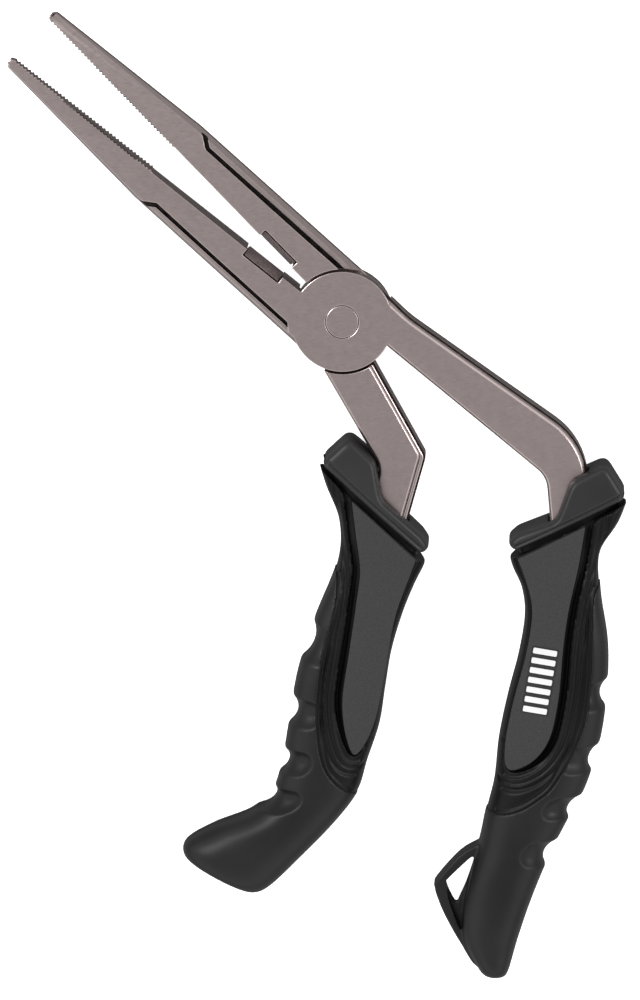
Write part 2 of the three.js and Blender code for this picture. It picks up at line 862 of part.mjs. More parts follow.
function eyeSolid(handle) {
  const shape = roundedShape(fromBend(handle.half, eye.outer));
  return rimmedSlab(shape, eye.thickness, eye.rounding, eye.rounding, 2, 4);
}

// The lanyard hole, with a dished recess round it on both faces.
function eyeOpening(handle) {
  const [hole, dish] = [eye.opening, eye.recess].map((list) => roundedShape(fromBend(handle.half, list)));
  const floor = eye.thickness / 2 - eye.recessDepth;
  return union(
    slab(hole, -beyond, beyond, 4),
    slab(dish, floor, eye.thickness / 2, 4),
    slab(dish, -eye.thickness / 2, -floor, 4),
  );
}

// ---------------------------------------------------------------- materials and assembly

const blackNickel = new THREE.MeshStandardMaterial({ color: 0x8d7f7d, metalness: 0.9, roughness: 0.34 });
const bladeSteel = new THREE.MeshStandardMaterial({ color: 0x51484a, metalness: 0.9, roughness: 0.4 });
const hardPlastic = new THREE.MeshStandardMaterial({ color: 0x232324, metalness: 0, roughness: 0.45 });
const panelPlastic = new THREE.MeshStandardMaterial({ color: 0x464446, metalness: 0, roughness: 0.7 });
const softRubber = new THREE.MeshStandardMaterial({ color: 0x252526, metalness: 0, roughness: 0.62 });

const pliers = new THREE.Group();
pliers.position.z = halfThick;

function addNode(name, solid, material) {
  const mesh = new THREE.Mesh(toGeometry(solid), material);
  mesh.name = name;
  pliers.add(mesh);
}

for (const half of [frontHalf, rearHalf]) {
  addNode(`${half.name}_half`, steelHalf(half), blackNickel);
  addNode(`${half.name}_cutter_blade`, cutterBlade(half), bladeSteel);
}
addNode("pivot_rivet", rivetSolid(), blackNickel);

for (const handle of [leftHandle, rightHandle]) {
  addNode(`${handle.name}_collar`, collarSolid(handle), hardPlastic);
  addNode(`${handle.name}_handle_body`, bodySolid(handle), hardPlastic);
  addNode(`${handle.name}_front_panel`, panelSolid(handle, 1), panelPlastic);
  addNode(`${handle.name}_back_panel`, panelSolid(handle, -1), panelPlastic);
}
addNode("left_finger_grip", gripSolid(leftHandle), softRubber);
addNode(
  "right_palm_grip",
  cut(gripSolid(rightHandle, eyeSolid(rightHandle)), eyeOpening(rightHandle)),
  softRubber,
);

export default pliers;
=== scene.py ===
import math

import bmesh
import bpy
from mathutils import Matrix, Vector


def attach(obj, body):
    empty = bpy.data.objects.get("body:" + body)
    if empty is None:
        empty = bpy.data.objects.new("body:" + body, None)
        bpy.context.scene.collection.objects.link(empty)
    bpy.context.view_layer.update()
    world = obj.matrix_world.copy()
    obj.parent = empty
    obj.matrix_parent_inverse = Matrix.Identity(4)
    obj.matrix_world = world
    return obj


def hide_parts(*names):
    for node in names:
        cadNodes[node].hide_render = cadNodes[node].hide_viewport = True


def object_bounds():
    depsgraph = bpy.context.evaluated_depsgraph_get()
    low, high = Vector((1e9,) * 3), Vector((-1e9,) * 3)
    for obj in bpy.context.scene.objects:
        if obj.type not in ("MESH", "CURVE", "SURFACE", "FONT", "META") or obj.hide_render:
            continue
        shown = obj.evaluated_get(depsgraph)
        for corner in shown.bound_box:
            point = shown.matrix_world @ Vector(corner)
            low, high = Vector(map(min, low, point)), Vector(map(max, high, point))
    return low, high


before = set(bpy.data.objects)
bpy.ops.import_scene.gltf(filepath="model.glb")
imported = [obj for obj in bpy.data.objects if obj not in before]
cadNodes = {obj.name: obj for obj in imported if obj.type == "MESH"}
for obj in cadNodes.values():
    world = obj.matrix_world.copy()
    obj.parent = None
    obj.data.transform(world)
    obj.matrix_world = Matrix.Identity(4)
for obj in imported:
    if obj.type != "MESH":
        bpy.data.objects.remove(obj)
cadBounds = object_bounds()
mm = 0.001
faceHeight = 0.0095  # the steel's front face
midHeight = faceHeight / 2
print("frame loaded")

# ---- camera, floor and light

viewpoint = {
    "place": (0.05235, 0.26047, 1.48581),
    "aim": (-0.00563, -0.04656, 0.0095),
    "lens": 210.97,
}


def makeCamera():
    data = bpy.data.cameras.new("camera")
    data.lens = viewpoint["lens"]
    data.sensor_width = 36
    data.clip_end = 20
    camera = bpy.data.objects.new("camera", data)
    bpy.context.scene.collection.objects.link(camera)
    place = Vector(viewpoint["place"])
    back = (place - Vector(viewpoint["aim"])).normalized()
    right = Vector((0, 1, 0)).cross(back).normalized()
    turn = Matrix((right, back.cross(right), back)).transposed()
    camera.matrix_world = Matrix.Translation(place) @ turn.to_4x4()
    bpy.context.scene.camera = camera


studio = {
    "overheadLight": 0.56,
    "skirtLight": 1.75,
    "tableLight": 0.5,
    "belowLight": 0.06,
    "floorSize": 4,
    "floorDrop": 0.0003,
}


def makeWorld():
    world = bpy.data.worlds.new("softTent")
    world.use_nodes = True
    bpy.context.scene.world = world
    tree = world.node_tree
    nodes, links = tree.nodes, tree.links
    nodes.clear()
    coords = nodes.new("ShaderNodeTexCoord")
    split = nodes.new("ShaderNodeSeparateXYZ")
    ramp = nodes.new("ShaderNodeValToRGB")
    background = nodes.new("ShaderNodeBackground")
    output = nodes.new("ShaderNodeOutputWorld")
    remap = nodes.new("ShaderNodeMapRange")
    remap.inputs["From Min"].default_value = -1
    stops = ramp.color_ramp.elements
    stops[0].position = 0.02
    stops[0].color = (studio["belowLight"],) * 3 + (1,)
    stops[1].position = 0.48
    stops[1].color = (studio["tableLight"],) * 3 + (1,)
    for position, light in (
        (0.09, studio["tableLight"]),
        (0.62, studio["skirtLight"]),
        (0.8, studio["skirtLight"] * 0.75),
        (0.94, studio["overheadLight"]),
    ):
        stop = stops.new(position)
        stop.color = (light, light, light, 1)
    links.new(coords.outputs["Generated"], split.inputs[0])
    links.new(split.outputs["Z"], remap.inputs["Value"])
    links.new(remap.outputs["Result"], ramp.inputs[0])
    links.new(ramp.outputs["Color"], background.inputs["Color"])
    links.new(background.outputs[0], output.inputs["Surface"])


def makeFloor():
    low = cadBounds[0][2] - studio["floorDrop"]
    bm = bmesh.new()
    bmesh.ops.create_grid(bm, x_segments=1, y_segments=1, size=studio["floorSize"] / 2)
    bmesh.ops.translate(bm, verts=bm.verts, vec=(0, 0, low))
    mesh = bpy.data.meshes.new("floor")
    bm.to_mesh(mesh)
    bm.free()
    floor = bpy.data.objects.new("floor", mesh)
    bpy.context.scene.collection.objects.link(floor)
    material = bpy.data.materials.new("whitePaper")
    material.use_nodes = True
    shader = material.node_tree.nodes["Principled BSDF"]
    shader.inputs["Base Color"].default_value = (0.9, 0.9, 0.9, 1)
    shader.inputs["Roughness"].default_value = 0.9
    shader.inputs["Emission Color"].default_value = (1, 1, 1, 1)
    shader.inputs["Emission Strength"].default_value = 0.75
    mesh.materials.append(material)
    floor.visible_glossy = False
    floor.visible_diffuse = False


def makeLamp(name, place, size, power):
    data = bpy.data.lights.new(name, "AREA")
    data.shape = "SQUARE"
    data.size = size
    data.energy = power
    lamp = bpy.data.objects.new(name, data)
    bpy.context.scene.collection.objects.link(lamp)
    place = Vector(place)
    lamp.matrix_world = Matrix.Translation(place) @ place.to_track_quat("Z", "Y").to_matrix().to_4x4()


lamps = {
    # place, size and power
    "leftSoftbox": ((-0.9, 0.5, 1.1), 0.5, 11),
    "rightSoftbox": ((1.0, 0.2, 0.7), 0.35, 5),
}

makeCamera()
makeWorld()
makeFloor()
for name, (place, size, power) in lamps.items():
    makeLamp(name, place, size, power)
bpy.context.scene.view_settings.view_transform = "Standard"
print("camera and light")

# ---- finishes


def newFinish(name, colour, roughness, metallic=0.0):
    material = bpy.data.materials.new(name)
    material.use_nodes = True
    shader = material.node_tree.nodes["Principled BSDF"]
    shader.inputs["Base Color"].default_value = (*colour, 1)
    shader.inputs["Roughness"].default_value = roughness
    shader.inputs["Metallic"].default_value = metallic
    return material, shader


def noiseOn(material, scale, stretch=(1, 1, 1), turn=0.0, detail=3):
    tree = material.node_tree
    coords = tree.nodes.new("ShaderNodeTexCoord")
    mapping = tree.nodes.new("ShaderNodeMapping")
    mapping.inputs["Rotation"].default_value = (0, 0, turn)
    mapping.inputs["Scale"].default_value = stretch
    noise = tree.nodes.new("ShaderNodeTexNoise")
    noise.inputs["Scale"].default_value = scale
    noise.inputs["Detail"].default_value = detail
    tree.links.new(coords.outputs["Object"], mapping.inputs["Vector"])
    tree.links.new(mapping.outputs["Vector"], noise.inputs["Vector"])
    return noise


def addBump(material, shader, noise, depth, strength=1.0):
    tree = material.node_tree
    bump = tree.nodes.new("ShaderNodeBump")
    bump.inputs["Strength"].default_value = strength
    bump.inputs["Distance"].default_value = depth
    tree.links.new(noise.outputs["Fac"], bump.inputs["Height"])
    earlier = shader.inputs["Normal"].links
    if earlier:
        tree.links.new(earlier[0].from_socket, bump.inputs["Normal"])
    tree.links.new(bump.outputs["Normal"], shader.inputs["Normal"])


def varyRoughness(material, shader, noise, low, high):
    tree = material.node_tree
    remap = tree.nodes.new("ShaderNodeMapRange")
    remap.inputs["From Min"].default_value = 0.3
    remap.inputs["From Max"].default_value = 0.7
    remap.inputs["To Min"].default_value = low
    remap.inputs["To Max"].default_value = high
    tree.links.new(noise.outputs["Fac"], remap.inputs["Value"])
    tree.links.new(remap.outputs["Result"], shader.inputs["Roughness"])


def varyColour(material, shader, noise, first, second):
    tree = material.node_tree
    ramp = tree.nodes.new("ShaderNodeValToRGB")
    ramp.color_ramp.elements[0].position = 0.35
    ramp.color_ramp.elements[0].color = (*first, 1)
    ramp.color_ramp.elements[1].position = 0.65
    ramp.color_ramp.elements[1].color = (*second, 1)
    tree.links.new(noise.outputs["Fac"], ramp.inputs[0])
    tree.links.new(ramp.outputs["Color"], shader.inputs["Base Color"])


steelLook = {
    "dark": (0.392, 0.329, 0.32),
    "light": (0.416, 0.35, 0.342),
    "roughness": (0.27, 0.36),
    "grain": 1600,
    "grainTurn": math.radians(-47.8),
    "grainDepth": 0.000002,
}


def makeSteel(name, dark, light, roughness):
    material, shader = newFinish(name, dark, 0.3, 1.0)
    cloud = noiseOn(material, 420, detail=2)
    grain = noiseOn(material, steelLook["grain"], (0.45, 1.8, 1), steelLook["grainTurn"], 2)
    varyColour(material, shader, cloud, dark, light)
    varyRoughness(material, shader, grain, *roughness)
    addBump(material, shader, grain, steelLook["grainDepth"], 0.6)
    return material


def makePlastic(name, dark, light, roughness, grainScale, grainDepth, specular=0.5, speckle=60):
    material, shader = newFinish(name, dark, roughness[0])
    shader.inputs["Specular IOR Level"].default_value = specular
    grain = noiseOn(material, grainScale, detail=2)
    cloud = noiseOn(material, 60, detail=4)
    varyColour(material, shader, noiseOn(material, speckle, detail=4), dark, light)
    varyRoughness(material, shader, cloud, *roughness)
    addBump(material, shader, grain, grainDepth, 0.7)
    return material


blackNickel = makeSteel("blackNickel", steelLook["dark"], steelLook["light"], steelLook["roughness"])
bladeSteel = makeSteel("groundBladeSteel", (0.26, 0.215, 0.21), (0.33, 0.28, 0.275), (0.5, 0.6))
# painted shade: a near-black steel finish for the floor of the jaw grooves
paintedGrooveShade = makeSteel("paintedGrooveShade", (0.012, 0.01, 0.01), (0.03, 0.025, 0.025), (0.55, 0.7))
hardPlastic = makePlastic(
    "hardPlastic", (0.004, 0.004, 0.0043), (0.006, 0.006, 0.0063), (0.33, 0.4), 2600, 0.00001, 0.11
)
panelPlastic = makePlastic(
    "panelPlastic", (0.026, 0.0248, 0.0255), (0.035, 0.0335, 0.0345), (0.6, 0.72), 2200, 0.00003, 0.25, 2600
)
# the collars' plastic: a dark grey of its own, made lighter still as a painted sheen on the broad faces
collarPlasticPaintedSheen = makePlastic(
    "collarPlasticPaintedSheen", (0.012, 0.012, 0.0123), (0.017, 0.017, 0.0173), (0.38, 0.46), 2600, 0.00001, 0.3
)
softRubber = makePlastic(
    "softRubber", (0.008, 0.008, 0.0083), (0.012, 0.012, 0.0122), (0.36, 0.45), 2400, 0.000014, 0.2
)
markWhite = makePlastic("markWhite", (0.6, 0.6, 0.6), (0.66, 0.66, 0.66), (0.4, 0.5), 2000, 0.000004)
markBlack = makePlastic("markBlack", (0.008, 0.008, 0.008), (0.01, 0.01, 0.01), (0.4, 0.5), 2000, 0.000004)
print("finishes")

# ---- helpers for meshes


def addObject(name, bm, material):
    mesh = bpy.data.meshes.new(name)
    bm.to_mesh(mesh)
    bm.free()
    mesh.materials.append(material)
    piece = bpy.data.objects.new(name, mesh)
    bpy.context.scene.collection.objects.link(piece)
    return piece


def finishPiece(piece, body, slot, *nodes):
    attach(piece, body)
    if nodes:
        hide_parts(*nodes)


def bake(piece):
    # the modifiers' result becomes the mesh
    bpy.context.view_layer.update()
    graph = bpy.context.evaluated_depsgraph_get()
    made = bpy.data.meshes.new_from_object(piece.evaluated_get(graph))
    piece.modifiers.clear()
    piece.data = made


def smoothShade(piece, angle):
    piece.data.shade_smooth()
    piece.data.set_sharp_from_angle(angle=math.radians(angle))


def mergedCopy(node, name, material):
    bm = bmesh.new()
    bm.from_mesh(cadNodes[node].data)
    bmesh.ops.remove_doubles(bm, verts=bm.verts, dist=1e-6)
    return addObject(name, bm, material)


def cutWith(piece, tool, operation):
    modifier = piece.modifiers.new("cut", "BOOLEAN")
    modifier.operation = operation
    modifier.solver = "EXACT"
    modifier.object = tool
    bake(piece)
    bpy.data.objects.remove(tool)


def remeshed(piece, voxel, passes, factor=0.5):
    skin = piece.modifiers.new("skin", "REMESH")
    skin.mode = "VOXEL"
    skin.voxel_size = voxel
    ease = piece.modifiers.new("ease", "SMOOTH")
    ease.factor = factor
    ease.iterations = passes
    bake(piece)
    piece.data.shade_smooth()


def spline(points, share):
    # one smooth curve through the points, even steps of share between them
    place = (len(points) - 1) * share
    i = min(int(place), len(points) - 2)
    t = place - i
    p0 = points[max(i - 1, 0)]
    p1, p2 = points[i], points[i + 1]
    p3 = points[min(i + 2, len(points) - 1)]
    made = []
    for a, b, c, d in zip(p0, p1, p2, p3):
        v0, v1 = (c - a) / 2, (d - b) / 2
        made.append((2 * b - 2 * c + v0 + v1) * t**3 + (3 * c - 3 * b - 2 * v0 - v1) * t**2 + v0 * t + b)
    return made


def outlineOf(points, steps, grow=0.0):
    # points along the spline, each moved to the left of the run by grow
    made = []
    for k in range(steps + 1):
        share = k / steps
        x, y = spline(points, share)
        ahead = Vector(spline(points, min(share + 0.001, 1))) - Vector(spline(points, max(share - 0.001, 0)))
        side = Vector((-ahead.y, ahead.x)).normalized() * grow
        made.append((x + side.x, y + side.y))
    return made


def prism(name, outline, low, high, material=None):
    # an upright solid on an outline in mm, low and high in mm from the steel's middle plane
    bm = bmesh.new()
    verts = [bm.verts.new((x * mm, y * mm, midHeight + low * mm)) for x, y in outline]
    base = bm.faces.new(verts)
    top = bmesh.ops.extrude_face_region(bm, geom=[base])["geom"]
    raised = [g for g in top if isinstance(g, bmesh.types.BMVert)]
    bmesh.ops.translate(bm, verts=raised, vec=(0, 0, (high - low) * mm))
    bmesh.ops.recalc_face_normals(bm, faces=bm.faces)
    return addObject(name, bm, material or hardPlastic)


# ---- steel


steelEdge = {"width": 0.0002, "segments": 2, "angle": 28, "smoothAngle": 18}
frontGroove = {"floorFrom": 7.4, "floorTo": 8.25, "wallTo": 9.35}


def paintGrooveShade(piece):
    # the faces low in the narrow groove at the foot of the raised front faces of the jaws get a near-black
    # finish, painted shade for the groove's depth
    piece.data.materials.append(paintedGrooveShade)
    for face in piece.data.polygons:
        heights = [piece.data.vertices[i].co.z for i in face.vertices]
        low, high = min(heights) / mm, max(heights) / mm
        if frontGroove["floorFrom"] < low < frontGroove["floorTo"] and high < frontGroove["wallTo"]:
            face.material_index = 1


def makeSteelPiece(node, name, body, material, slot):
    piece = mergedCopy(node, name, material)
    edge = piece.modifiers.new("edge", "BEVEL")
    edge.width = steelEdge["width"]
    edge.segments = steelEdge["segments"]
    edge.limit_method = "ANGLE"
    edge.angle_limit = math.radians(steelEdge["angle"])
    edge.use_clamp_overlap = False
    edge.miter_outer = "MITER_ARC"
    flat = piece.modifiers.new("merge", "DECIMATE")
    flat.decimate_type = "DISSOLVE"
    flat.angle_limit = math.radians(0.5)
    piece.modifiers.move(1, 0)
    bake(piece)
    smoothShade(piece, steelEdge["smoothAngle"])
    if slot == "steel":
        paintGrooveShade(piece)
    finishPiece(piece, body, slot, node)


makeSteelPiece("front_half", "frontSteel", "front", blackNickel, "steel")
makeSteelPiece("rear_half", "rearSteel", "rear", blackNickel, "steel")
makeSteelPiece("pivot_rivet", "flushRivet", "rear", blackNickel, "steel")
makeSteelPiece("front_cutter_blade", "frontBlade", "front", bladeSteel, "cutter_steel")
makeSteelPiece("rear_cutter_blade", "rearBlade", "rear", bladeSteel, "cutter_steel")
print("steel")

# ---- handles


moulding = {
    "grooveWidth": 1,
    "gap": 0.3,
    "lap": 0.3,
    "gripProud": 0.28,
    "panelTop": 8.8,
    "panelFloor": 6.4,
    "panelGroove": 0.8,
    "panelEdge": 0.35,
    "panelShift": 1.1,
    "hollowDepth": 1.9,
    "hollowReach": 58,
    "coreHalf": 5.6,
    "voxel": 0.00036,
}
rightHandle = {
    "name": "right",
    "body": "front",
    "grip": "palm",
    "side": 1,
    "bend": (58.148, -37.331),
    "sections": [
        (-15.8, -20.3, 16.6, -5.4, 8.3, 3),
        (-14.3, -26.5, 13.3, -14.5, 8.3, 3),
        (-11.7, -32.6, 8.4, -22.9, 8.4, 3),
        (-10.9, -40, 8.5, -33.7, 8.6, 3),
        (-12.4, -50.2, 10.5, -47.4, 8.8, 2.9),
        (-15.2, -61.4, 10.3, -60.6, 9, 2.7),
        (-17.4, -72.6, 8.7, -72.9, 9.1, 2.6),
        (-18.5, -83.5, 5.1, -85.2, 9.1, 2.4),
        (-20.5, -92.2, 0.4, -94.5, 9, 2.3),
        (-22.3, -100.9, -3.9, -103.4, 8.9, 2.2),
        (-26.2, -114.4, -8.6, -115.3, 8.7, 2.2),
        (-26.6, -125.7, -12.2, -126.3, 8.2, 2.2),
        (-22.3, -134.7, -14.5, -134.8, 6.4, 2.2),
        (-20.2, -137.2, -15.6, -137.2, 3, 2),
    ],
    "groove": [(15.9, -8.1), (-13.8, -23.1)],
    "gripEdge": [
        (8.5, -30.3),
        (6.8, -34.7),
        (6.6, -42),
        (6.4, -51.9),
        (5.6, -62.8),
        (3.1, -72.4),
        (-2.9, -83.5),
        (-7.9, -88.1),
        (-12.8, -90.8),
        (-17.8, -91.8),
        (-22.5, -90.7),
    ],
    "panel": [
        (-15.1, -18.8),
        (-11.5, -26.8),
        (-9, -36.8),
        (-10.4, -48.8),
        (-13.9, -62.7),
        (-15.8, -74.4),
        (-14.4, -79.6),
        (-8, -77.6),
        (-3.3, -71.7),
        (-0.9, -60.6),
        (0.2, -47.4),
        (1.6, -36.8),
        (4.1, -24.7),
        (6.4, -9.6),
    ],
    "hollows": [(0.381, 5.2), (0.487, 5.2), (0.58, 4.6), (0.69, 5)],
}
leftHandle = {
    "name": "left",
    "body": "rear",
    "grip": "finger",
    "side": -1,
    "bend": (15.624, -37.906),
    "sections": [
        (7, -20, -22.7, 4, 8.3, 3),
        (5.7, -25.7, -20, -4.8, 8.3, 3),
        (3.1, -31.2, -16.4, -14.6, 8.4, 3),
        (0, -39.1, -16.9, -25.8, 8.6, 3),
        (-2.8, -48.9, -22.7, -41, 8.8, 2.9),
        (-4.4, -58.7, -27, -54.8, 9, 2.7),
        (-5.9, -68.5, -29.2, -67.8, 9.1, 2.6),
        (-9, -78.2, -31.2, -79.2, 9.1, 2.4),
        (-11.6, -86.6, -33.6, -86.6, 9.1, 2.3),
        (-17.8, -95.1, -39.4, -92.3, 9, 2.3),
        (-26.9, -104.8, -49.3, -96.4, 9, 2.3),
        (-34.4, -112.2, -56.2, -100.6, 8.7, 2.3),
        (-38.6, -114.3, -56.7, -104.6, 6.8, 2.2),
        (-42.3, -113.2, -53.3, -107.3, 3.4, 2),
    ],
    "groove": [(-21.3, 0.9), (4.8, -23.4)],
    "gripEdge": [
        (-18, -24.5),
        (-16.8, -29.1),
        (-17.5, -37.2),
        (-20.1, -47.4),
        (-21.6, -57.5),
        (-22.1, -65.6),
        (-21.6, -72.8),
        (-20.1, -79),
        (-17.3, -83),
        (-13.7, -85.9),
        (-10.2, -87),
    ],
    "panel": [
        (6.4, -15.1),
        (2.6, -26.2),
        (-1.8, -38.9),
        (-4.5, -54.6),
        (-6.9, -66.2),
        (-10.1, -73.3),
        (-12.8, -75),
        (-15.5, -68.4),
        (-16.4, -60.2),
        (-14.7, -47.9),
        (-12.6, -33),
        (-11.9, -26),
        (-13, -17),
        (-15, -0.2),
    ],
    "hollows": [(0.335, 8.5), (0.443, 5.2), (0.53, 4), (0.638, 5)],
}


def fromBend(handle, points):
    bendX, bendY = handle["bend"]
    return [(x + bendX, y + bendY) for x, y in points]


def hollowDepth(handle, run, angle, girth):
    # how far a finger hollow sinks the surface, from the run along the handle in mm and the angle round it
    sunk = 0
    past = max(abs(angle) - math.radians(moulding["hollowReach"]), 0) * girth
    for centre, radius in handle["hollowRuns"]:
        lift = radius - moulding["hollowDepth"]
        reach = radius**2 - (run - centre) ** 2 - past**2
        if reach > lift**2:
            sunk = max(sunk, math.sqrt(reach) - lift)
    return sunk


def handleForm(handle, name, proud, scooped, material, rows=260, around=150):
    bendX, bendY = handle["bend"]
    inner = [(s[0] + bendX, s[1] + bendY) for s in handle["sections"]]
    outer = [(s[2] + bendX, s[3] + bendY) for s in handle["sections"]]
    shape = [(s[4], s[5]) for s in handle["sections"]]
    runs, travelled = [0], 0
    for r in range(rows):
        a, b = Vector(spline(outer, r / rows)), Vector(spline(outer, (r + 1) / rows))
        travelled += (b - a).length
        runs.append(travelled)
    handle["hollowRuns"] = [(runs[round(share * rows)], radius) for share, radius in handle["hollows"]]
    bm = bmesh.new()
    bmesh.ops.create_grid(bm, x_segments=around, y_segments=rows, size=0.5)
    for vert in bm.verts:
        turn = (vert.co.x + 0.5) * 2 * math.pi
        row = round((vert.co.y + 0.5) * rows)
        share = row / rows
        a, b = Vector(spline(inner, share)), Vector(spline(outer, share))
        half, squareness = spline(shape, share)
        middle, reach = (a + b) / 2, (b - a) / 2
        width = reach.length
        angle = turn if turn <= math.pi else turn - 2 * math.pi
        sunk = hollowDepth(handle, runs[row], angle, (width + half) / 2) if scooped else 0
        wide, deep = max(width + proud - sunk, 0.4), max(half + proud - sunk, 0.4)
        power = 2 / squareness
        across = math.copysign(abs(math.cos(turn)) ** power, math.cos(turn)) * wide
        up = math.copysign(abs(math.sin(turn)) ** power, math.sin(turn)) * deep
        place = middle + reach / width * across
        vert.co = (place.x * mm, place.y * mm, midHeight + up * mm)
    bmesh.ops.remove_doubles(bm, verts=bm.verts, dist=1e-6)
    bmesh.ops.holes_fill(bm, edges=[e for e in bm.edges if e.is_boundary])
    bmesh.ops.recalc_face_normals(bm, faces=bm.faces)
    return addObject(name, bm, material)


def belowGroove(handle, shift):
    outer, inner = [Vector(p) for p in fromBend(handle, handle["groove"])]
    line = (inner - outer).normalized()
    down = Vector((-line.y, line.x))
    if down.y > 0:
        down.negate()
    a, b = outer - line * 60 + down * shift, inner + line * 60 + down * shift
    c, d = b + down * 260, a + down * 260
    return [tuple(p) for p in (a, b, c, d)]


def jointLine(handle):
    # the direction down the handle from the collar's lower edge, and that edge's place along it
    first = Vector(belowGroove(handle, 0)[0])
    down = (Vector(belowGroove(handle, 1)[0]) - first).normalized()
    return down, first.dot(down)


def gripRegion(handle, grow):
    away = handle["side"] * 60
    edge = outlineOf(fromBend(handle, handle["gripEdge"]), 80, -handle["side"] * grow)
    (firstX, firstY), (lastX, lastY) = edge[0], edge[-1]
    return edge + [
        (lastX - away, lastY),
        (lastX - away, lastY - 60),
        (firstX + away, lastY - 60),
        (firstX + away, firstY + 5),
    ]


def panelOutline(handle, grow, shift=0.0):
    # the side towards the grip is moved in by shift
    points = fromBend(handle, handle["panel"])
    turn = sum(a[0] * b[1] - b[0] * a[1] for a, b in zip(points, points[1:] + points[:1]))
    sign = -1 if turn > 0 else 1
    outside, inside = outlineOf(points, 110, sign * grow), outlineOf(points, 110, sign * (grow - shift))
    made = []
    for k, (a, b) in enumerate(zip(outside, inside)):
        share = min(max((k / 110 - 0.42) / 0.2, 0), 1)
        share = share * share * (3 - 2 * share)
        made.append((a[0] + (b[0] - a[0]) * share, a[1] + (b[1] - a[1]) * share))
    return made


def nearest(point, outline):
    best = 1e9
    for (ax, ay), (bx, by) in zip(outline, outline[1:]):
        dx, dy = bx - ax, by - ay
        t = ((point[0] - ax) * dx + (point[1] - ay) * dy) / max(dx * dx + dy * dy, 1e-9)
        t = min(max(t, 0), 1)
        best = min(best, (ax + dx * t - point[0]) ** 2 + (ay + dy * t - point[1]) ** 2)
    return math.sqrt(best)


def hill(value, centre, width):
    return math.exp(-(((value - centre) / width) ** 2))


# each is [depth in mm, place in mm, width in mm], and a negative depth is a ridge
carving = {
    "from": 3,
    "valley": (0.8, 1.9, 1),
    "ridge": (-0.6, 3.8, 0.85),
    "secondValley": (0.8, 5.5, 0.7),
    "partingLine": (0.5, 1.3, 0.4),
    "joint": (0.8, 0.6, 0.5),
    "bodyStart": 0.85,
    "outerSteps": 44,
    "edgeSteps": 60,
}


def carved(name, away):
    depth, place, width = carving[name]
    return depth * hill(away, place, width)


def carveBody(handle, piece):
    # the valley and ridge that follow the panel and the fine second parting line beside the grip
    panel = panelOutline(handle, 0, moulding["panelShift"])
    outer = panel[carving["outerSteps"] :]
    down, top = jointLine(handle)
    edge = outlineOf(fromBend(handle, handle["gripEdge"]), carving["edgeSteps"])
    for vert in piece.data.vertices:
        up = (vert.co.z - midHeight) / mm
        if abs(up) < carving["from"]:
            continue
        point = (vert.co.x / mm, vert.co.y / mm)
        share = min((abs(up) - carving["from"]) / 2, 1)
        away, besides = nearest(point, outer), nearest(point, edge)
        room = min(away / 2.2, besides / 2.2, 1)
        sunk = carved("valley", away) + carved("ridge", away) * room
        sunk += carved("secondValley", away) * room + carved("partingLine", besides) * min(away / 3, 1)
        sunk += carved("joint", Vector(point).dot(down) - top)
        sunk = min(sunk, max(abs(up) - moulding["coreHalf"], 0))
        vert.co.z -= math.copysign(sunk * share * mm, up)


def makeBody(handle):
    side = handle["name"]
    piece = handleForm(handle, side + "Body", 0, False, hardPlastic)
    cutWith(piece, prism("tool", belowGroove(handle, carving["bodyStart"]), -20, 20), "INTERSECT")
    cutWith(piece, prism("tool", gripRegion(handle, -moulding["lap"]), -20, 20), "DIFFERENCE")
    pocket = panelOutline(handle, moulding["panelGroove"])
    floor = moulding["panelFloor"] - moulding["gap"]
    cutWith(piece, prism("tool", pocket, floor, 20), "DIFFERENCE")
    cutWith(piece, prism("tool", pocket, -20, -floor), "DIFFERENCE")
    remeshed(piece, moulding["voxel"], 3)
    carveBody(handle, piece)
    finishPiece(piece, handle["body"], "hard_plastic", side + "_handle_body")


jointCore = {"inset": 2.7, "reach": 3}


def makeJointCore(handle):
    # the plastic between collar and body that hides the tang
    side = handle["name"]
    core = handleForm(handle, side + "JointCore", -jointCore["inset"], False, hardPlastic, 90, 60)
    first, second = [belowGroove(handle, shift)[:2] for shift in (-jointCore["reach"], jointCore["reach"])]
    cutWith(core, prism("tool", [*first, *reversed(second)], -20, 20), "INTERSECT")
    smoothShade(core, 30)
    finishPiece(core, handle["body"], "hard_plastic")


def makePanel(handle, face):
    side = handle["name"]
    outline = panelOutline(handle, 0, moulding["panelShift"])
    low, high = (moulding["panelFloor"], moulding["panelTop"])
    if face < 0:
        low, high = -high, -low
    where = "Front" if face > 0 else "Back"
    piece = prism(side + where + "Panel", outline, low, high, panelPlastic)
    cutWith(piece, prism("tool", belowGroove(handle, moulding["grooveWidth"]), -20, 20), "INTERSECT")
    edge = piece.modifiers.new("edge", "BEVEL")
    edge.width = moulding["panelEdge"] * mm
    edge.segments = 3
    edge.limit_method = "ANGLE"
    edge.angle_limit = math.radians(40)
    bake(piece)
    smoothShade(piece, 40)
    finishPiece(piece, handle["body"], "panel_plastic", f"{side}_{where.lower()}_panel")


collarShape = {
    "voxel": 0.0003,
    "passes": 26,
    "lineFrom": 6.5,
    "lineDepth": 0.75,
    "linePlace": 2,
    "lineWidth": 0.38,
    "domeReach": 0.016,
    "domeFall": 0.15,
}


